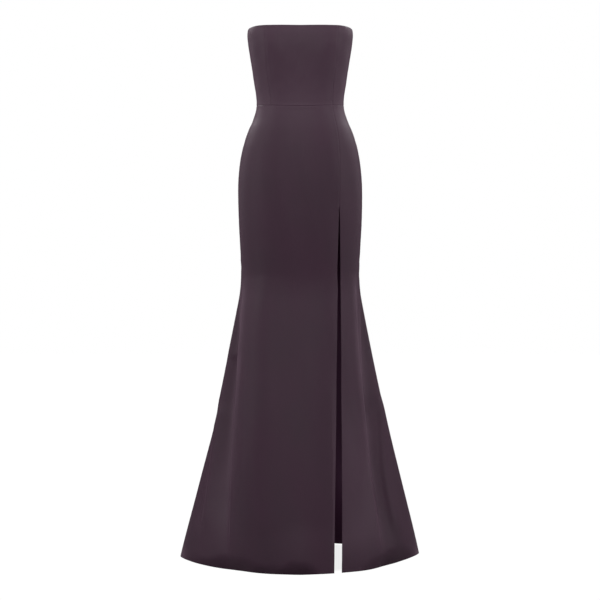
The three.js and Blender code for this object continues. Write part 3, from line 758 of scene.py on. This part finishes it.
def tape(name, node, side):
    zs = np.linspace(ZIP_TOP, ZIP_LOW, 180)
    ds = np.array([TAPE_FROM, TAPE_FROM + 0.2, TAPE_FROM + 0.5, TAPE_FROM + 2, 5, 8, 11, TAPE_FROM + TAPE_WIDE - 1,
                   TAPE_FROM + TAPE_WIDE - 0.3, TAPE_FROM + TAPE_WIDE])
    if side > 0:
        ds = ds[::-1]
    D, Z = np.meshgrid(ds, zs)
    ang = 180 - np.degrees(D / radius(180, Z))
    ang = ang if side > 0 else -ang
    P, Nn = point(ang, Z), outward(ang, Z)
    wave = 0.05 * waves(Z, D, 91 + side, 5, 14, 30)
    lip = 0.18 * np.exp(-np.minimum(D - TAPE_FROM, TAPE_FROM + TAPE_WIDE - D) / 0.4)
    outer = P - Nn * (TAPE_IN + lip - 0 * wave)[..., None]
    inner = P - Nn * (TAPE_IN + TAPE_THICK - lip + np.abs(wave))[..., None]
    uv = np.stack([D * MM, Z * MM], -1)
    ob = shell(name, outer, inner, [TAPE], uv)
    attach(ob, "gown")
    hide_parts(node)
    return ob


tape("zip_tape_left_knit", "zip_tape_left", 1)
tape("zip_tape_right_knit", "zip_tape_right", -1)


def coil(name, side):
    """Nylon coil teeth along one tape, as one mesh of small rounded bars."""
    pitch = 1.3
    zs = np.arange(ZIP_LOW + 3, ZIP_TOP - 1.5, pitch) + (0 if side > 0 else pitch / 2)
    zs = zs[(zs < SLIDER_Z - 4.6) | (zs > SLIDER_Z + 4.6)]
    # a bar with chamfered ends: cross-section of 6 points, 4 stations along x
    sec6 = np.array([(math.cos(t), math.sin(t)) for t in np.radians(np.arange(0, 360, 60) + 30)])
    stations = [(-0.55, 0.55), (-0.35, 1.0), (1.1, 1.0), (1.55, 0.6)]
    verts, faces = [], []
    for z0 in zs:
        y0 = float(radius(180, z0)) - TAPE_IN - TAPE_THICK - 0.25
        base = len(verts)
        for x, k in stations:
            for cy, cz in sec6:
                verts.append((side * x, y0 + 0.42 * k * cy, z0 + 0.27 * k * cz))
        for s in range(len(stations) - 1):
            for q in range(6):
                a, b = base + s * 6 + q, base + s * 6 + (q + 1) % 6
                c, d = b + 6, a + 6
                f = (a, b, c, d) if side > 0 else (d, c, b, a)
                faces.append(f)
        e0 = [base + q for q in range(6)]
        e1 = [base + 18 + q for q in range(6)]
        for ring, flip in ((e0, side > 0), (e1, side < 0)):
            r = ring[::-1] if flip else ring
            faces.append((r[0], r[1], r[2], r[3]))
            faces.append((r[0], r[3], r[4], r[5]))
    ob = mesh_object(name, verts, faces, [ENAMEL], np.zeros(len(faces), int))
    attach(ob, "gown")
    return ob


coil("zip_coil_left", 1)
coil("zip_coil_right", -1)

for node in ("zip_slider", "zip_pull"):
    ob = bpy.data.objects.get(node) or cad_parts[node]
    for k in range(len(ob.material_slots)):
        ob.material_slots[k].material = ENAMEL
    if not ob.material_slots:
        ob.data.materials.append(ENAMEL)
    bv = ob.modifiers.new("soft_edges", "BEVEL")
    bv.width = 0.00022
    bv.segments = 2
    bv.limit_method = "ANGLE"
    bv.angle_limit = math.radians(35)

# ------------------------------------------------------------------------- stage
FLOOR_Z = -1.190


def stage_floor():
    me = bpy.data.meshes.new("floor")
    s = 14.0
    me.from_pydata([(-s, -s, FLOOR_Z), (s, -s, FLOOR_Z), (s, s, FLOOR_Z), (-s, s, FLOOR_Z)], [], [(0, 1, 2, 3)])
    ob = bpy.data.objects.new("floor", me)
    bpy.context.scene.collection.objects.link(ob)
    m = bpy.data.materials.new("pale_floor")
    m.use_nodes = True
    nt = m.node_tree
    nt.nodes.clear()
    N, L = nt.nodes.new, nt.links.new
    out = N("ShaderNodeOutputMaterial")
    dif = N("ShaderNodeBsdfDiffuse")
    dif.inputs["Color"].default_value = (0.25, 0.25, 0.25, 1)
    em = N("ShaderNodeEmission")
    em.inputs["Color"].default_value = (1, 1, 1, 1)
    # the floor shows an even white, with a painted shadow right under the gown
    geo = N("ShaderNodeNewGeometry")
    move = N("ShaderNodeVectorMath")
    move.operation = "SUBTRACT"
    move.inputs[1].default_value = (0, 0.12, 0)
    scale = N("ShaderNodeVectorMath")
    scale.operation = "MULTIPLY"
    scale.inputs[1].default_value = (1 / 0.225, 1 / 0.245, 0)
    dist = N("ShaderNodeVectorMath")
    dist.operation = "LENGTH"
    fade = N("ShaderNodeMapRange")
    fade.interpolation_type = "SMOOTHSTEP"
    fade.inputs["From Min"].default_value = 0.80
    fade.inputs["From Max"].default_value = 1.0
    fade.inputs["To Min"].default_value = 0.84
    fade.inputs["To Max"].default_value = 1.02
    L(geo.outputs["Position"], move.inputs[0])
    L(move.outputs["Vector"], scale.inputs[0])
    L(scale.outputs["Vector"], dist.inputs[0])
    L(dist.outputs["Value"], fade.inputs["Value"])
    L(fade.outputs["Result"], em.inputs["Strength"])
    path = N("ShaderNodeLightPath")
    seen = N("ShaderNodeMixShader")
    L(path.outputs["Is Camera Ray"], seen.inputs["Fac"])
    L(dif.outputs[0], seen.inputs[1])
    L(em.outputs[0], seen.inputs[2])
    clear = N("ShaderNodeBsdfTransparent")
    mix = N("ShaderNodeMixShader")
    L(geo.outputs["Backfacing"], mix.inputs["Fac"])
    L(seen.outputs[0], mix.inputs[1])
    L(clear.outputs[0], mix.inputs[2])
    L(mix.outputs[0], out.inputs["Surface"])
    me.materials.append(m)


stage_floor()

# strengths of the studio lights, in watts
POWER = {"key": 42.5, "s60": 29.2, "s90": 8.1, "r120": 6.3, "low": 1.5, "high": 3.8, "rim": 42.2, "inside": 0.2,
         "inside_low": 0.06}

world = bpy.data.worlds.new("studio")
bpy.context.scene.world = world
world.use_nodes = True
nt = world.node_tree
nt.nodes.clear()
w_out = nt.nodes.new("ShaderNodeOutputWorld")
w_bg = nt.nodes.new("ShaderNodeBackground")
w_seen = nt.nodes.new("ShaderNodeBackground")
w_mix = nt.nodes.new("ShaderNodeMixShader")
w_path = nt.nodes.new("ShaderNodeLightPath")
w_bg.inputs["Color"].default_value = (1, 1, 1, 1)
w_bg.inputs["Strength"].default_value = 0.0
w_seen.inputs["Color"].default_value = (1, 1, 1, 1)
w_seen.inputs["Strength"].default_value = 1.0
nt.links.new(w_path.outputs["Is Camera Ray"], w_mix.inputs["Fac"])
nt.links.new(w_bg.outputs[0], w_mix.inputs[1])
nt.links.new(w_seen.outputs[0], w_mix.inputs[2])
nt.links.new(w_mix.outputs[0], w_out.inputs["Surface"])


def softbox(name, place, aim, size, power, color=(1, 1, 1)):
    data = bpy.data.lights.new(name, "AREA")
    data.shape = "RECTANGLE"
    data.size, data.size_y = size
    data.energy = power
    data.color = color
    ob = bpy.data.objects.new(name, data)
    ob.location = place
    ob.rotation_euler = (Vector(aim) - Vector(place)).to_track_quat("-Z", "Y").to_euler()
    bpy.context.scene.collection.objects.link(ob)
    return ob


softbox("key", (0, -2.6, 1.0), (0, 0, -0.45), (2.0, 1.4), POWER["key"])
for k in (-1, 1):
    softbox("s60", (2.0 * k, -1.15, 0.6), (0, 0, -0.35), (0.9, 2.0), POWER["s60"])
    softbox("s90", (2.1 * k, 0.0, 0.5), (0, 0, -0.3), (0.8, 2.0), POWER["s90"])
    softbox("r120", (2.0 * k, 1.15, 0.5), (0, 0, -0.3), (0.8, 2.0), POWER["r120"])
    softbox("low", (2.0 * k, -0.1, -0.75), (0, 0, -0.75), (0.6, 0.7), POWER["low"])
    softbox("high", (1.3 * k, -0.1, 1.3), (0, 0, -0.05), (0.7, 0.7), POWER["high"])
    softbox("rim", (1.5 * k, 1.3, 1.5), (0, 0, -0.15), (0.6, 0.6), POWER["rim"])
# a little light that comes through the cloth, so that the inside isn't black
fill = softbox("inside", (0, 0, -0.78), (0, 1, -0.534), (0.16, 0.7), POWER["inside"], (1, 0.62, 0.95))
fill.visible_camera = False
fill = softbox("inside_low", (0, 0.02, -1.10), (0, 1, -1.10), (0.2, 0.12), POWER["inside_low"], (1, 0.62, 0.95))
fill.visible_camera = False

# ------------------------------------------------------------------------ camera
cam_data = bpy.data.cameras.new("camera")
cam_data.lens = 85
cam_data.sensor_width = 36
cam_data.clip_end = 100
cam = bpy.data.objects.new("camera", cam_data)
cam.location = (-0.0004, -3.683, -0.501)
cam.rotation_euler = (math.pi / 2, 0, 0)
bpy.context.scene.collection.objects.link(cam)
bpy.context.scene.camera = cam
bpy.context.scene.view_settings.view_transform = "Standard"
bpy.context.scene.view_settings.look = "None"

bpy.context.view_layer.update()
